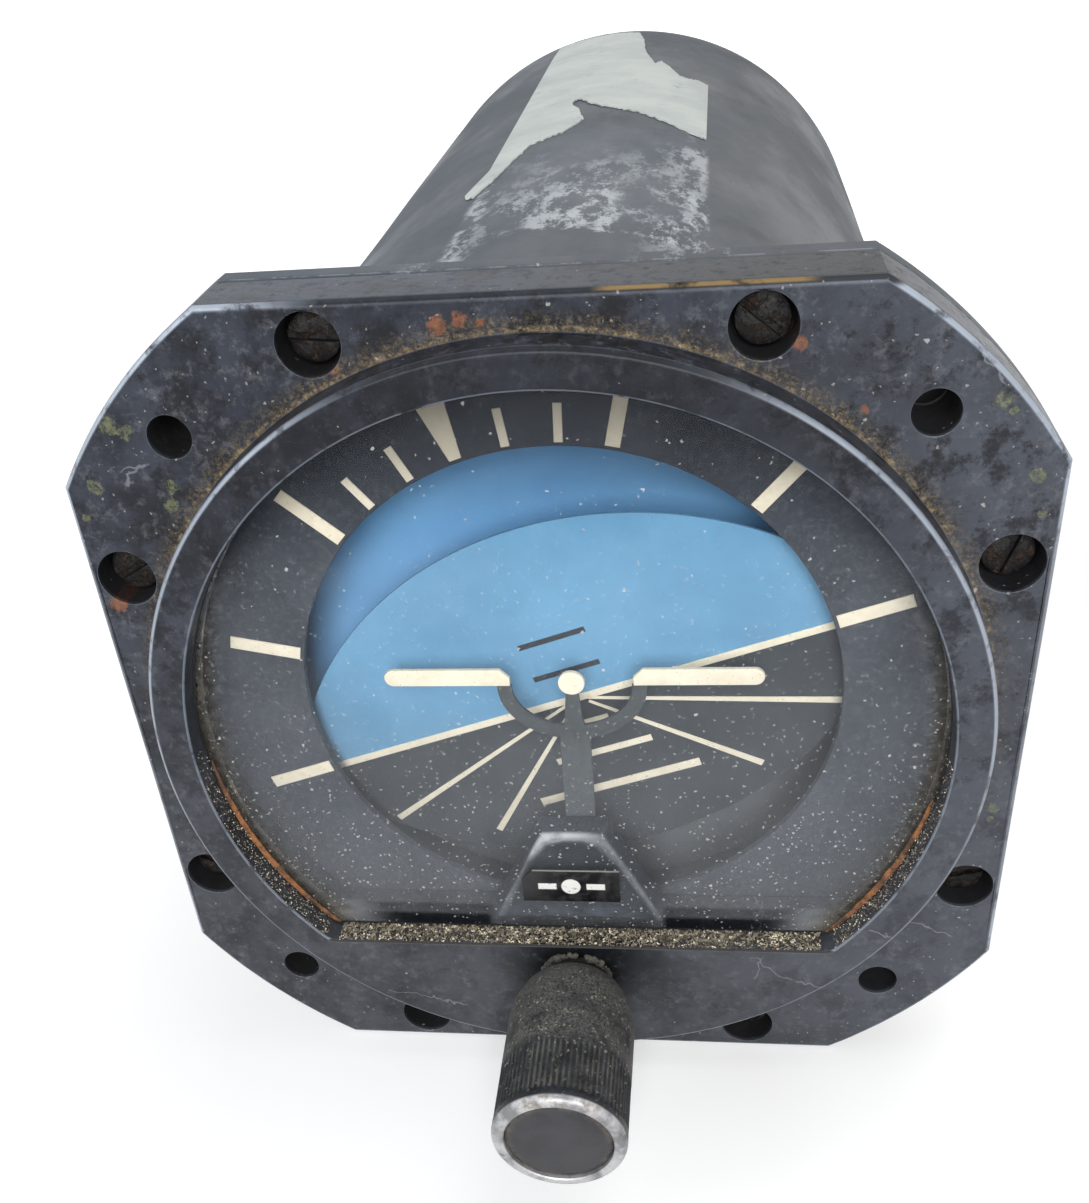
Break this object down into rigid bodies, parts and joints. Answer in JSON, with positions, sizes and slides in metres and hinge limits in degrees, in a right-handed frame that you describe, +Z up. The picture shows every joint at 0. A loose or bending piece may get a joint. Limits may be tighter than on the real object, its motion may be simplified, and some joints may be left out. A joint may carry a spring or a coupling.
{
  "type": "attitude indicator",
  "caption": "Panel-mounted gyroscopic attitude indicator with a tilting horizon, bank dial, miniature airplane, adjusting knob and cylindrical case.",
  "frame": {"origin": "centre of the flange's front face, which seats against the back of the panel, on the roll axis", "axes": "+Z up on the panel, +Y into the instrument along the roll axis, -Y towards the pilot, +X to the pilot's right"},
  "size_m": [0.0846, 0.2037, 0.0846],
  "materials": {
    "black_paint": "worn semi-gloss paint",
    "case_paint": "satin paint with scuffs",
    "black_rubber": "matte",
    "screw_steel": "tarnished, rusty in the slots",
    "window_glass": "clear, dusty",
    "black_tape": "satin tape with a pale sign",
    "hood_paint": "satin",
    "bare_aluminium": "machined",
    "bright_steel": "ground",
    "brass": "machined",
    "filter_felt": "felt",
    "knob_plastic": "fine straight knurl",
    "knob_face_grey": "satin",
    "symbol_paint": "matte cream and grey",
    "dial_paint": "matte with cream marks",
    "sky_paint": "matte",
    "horizon_paint": "matte, blue over grey"
  },
  "bodies": {
    "case_body": {"bezel": "black_paint", "bezel_gasket": "black_rubber", "bezel_screw_1": "screw_steel", "bezel_screw_2": "screw_steel", "bezel_screw_3": "screw_steel", "bezel_screw_4": "screw_steel", "bezel_screw_5": "screw_steel", "bezel_screw_6": "screw_steel", "bezel_screw_7": "screw_steel", "bezel_screw_8": "screw_steel", "window_seal": "black_rubber", "window_glass": "window_glass", "glass_retainer": "black_paint", "legend_tape": "black_tape", "symbol_hood": "hood_paint", "symbol_guide": "bare_aluminium", "case": "case_paint", "rear_bearing_housing": "case_paint", "rear_screw_1": "screw_steel", "rear_screw_2": "screw_steel", "rear_screw_3": "screw_steel", "rear_screw_4": "screw_steel", "roll_bearing_front": "bright_steel", "roll_bearing_rear": "bright_steel", "air_inlet_cap": "brass", "air_filter": "filter_felt", "vacuum_port": "brass", "knob_bushing": "brass"},
    "adjust_knob": {"knob_body": "knob_plastic", "knob_face": "knob_face_grey", "knob_set_screw": "screw_steel", "knob_shaft": "bright_steel", "knob_pinion": "brass"},
    "airplane": {"airplane_symbol": "symbol_paint", "symbol_rack": "brass"},
    "roll_gimbal": {"bank_dial": "dial_paint", "dial_bracket_left": "bare_aluminium", "dial_bracket_right": "bare_aluminium", "sky_background": "sky_paint", "roll_gimbal_frame": "bare_aluminium", "roll_shaft": "bright_steel", "roll_balance_weight": "brass", "pitch_pivot_left": "bright_steel", "pitch_pivot_right": "bright_steel", "horizon_arm_pivot": "bright_steel"},
    "gyro_housing": {"rotor_housing": "bare_aluminium", "rotor_housing_lid": "bare_aluminium", "horizon_drive_pin": "bright_steel", "pitch_bearing_left": "bright_steel", "pitch_bearing_right": "bright_steel", "rotor_bearing_upper": "bright_steel", "rotor_bearing_lower": "bright_steel", "erection_body": "bare_aluminium"},
    "gyro_rotor": {"rotor": "brass", "rotor_shaft": "bright_steel"},
    "horizon_bar": {"horizon_plate": "horizon_paint", "horizon_arm": "bare_aluminium", "horizon_counterweight": "brass"},
    "pitch_vanes": {"vane_pair_pitch": "bare_aluminium"},
    "roll_vanes": {"vane_pair_roll": "bare_aluminium"}
  },
  "joints": [
    {"name": "roll_gimbal_turn", "type": "hinge", "parent": "case_body", "child": "roll_gimbal", "pos_m": [0, 0.095, 0], "axis": [0, 1, 0], "continuous": true},
    {"name": "gyro_housing_pitch", "type": "hinge", "parent": "roll_gimbal", "child": "gyro_housing", "pos_m": [0, 0.056, 0], "axis": [0.9494, 0, 0.314], "range_deg": [-52.76, 67.24]},
    {"name": "gyro_rotor_spin", "type": "hinge", "parent": "gyro_housing", "child": "gyro_rotor", "pos_m": [0, 0.056, 0], "axis": [-0.3115, 0.1261, 0.9418], "continuous": true},
    {"name": "horizon_bar_pitch", "type": "hinge", "parent": "roll_gimbal", "child": "horizon_bar", "pos_m": [0, 0.095, 0], "axis": [0.9494, 0, 0.314], "range_deg": [-13.81, 10.85]},
    {"name": "pitch_vanes_swing", "type": "hinge", "parent": "gyro_housing", "child": "pitch_vanes", "pos_m": [0.00637, 0.05342, -0.01926], "axis": [0.9494, 0, 0.314], "range_deg": [-32.24, 17.76]},
    {"name": "roll_vanes_swing", "type": "hinge", "parent": "gyro_housing", "child": "roll_vanes", "pos_m": [0.00718, 0.05309, -0.02171], "axis": [0.0396, 0.992, -0.1197], "range_deg": [-43.3, 6.7]},
    {"name": "knob_turn", "type": "hinge", "parent": "case_body", "child": "adjust_knob", "pos_m": [0, 0, -0.0289], "axis": [0, 1, 0], "range_deg": [-175.1, 15.95]},
    {"name": "airplane_slide", "type": "slide", "parent": "case_body", "child": "airplane", "axis": [0, 0, 1], "range_m": [-0.0055, 0.0005]}
  ],
  "couplings": [
    {"joint": "horizon_bar_pitch", "follows": "gyro_housing_pitch", "ratio": -0.205},
    {"joint": "knob_turn", "follows": "airplane_slide", "rad_per_m": 555.56}
  ]
}
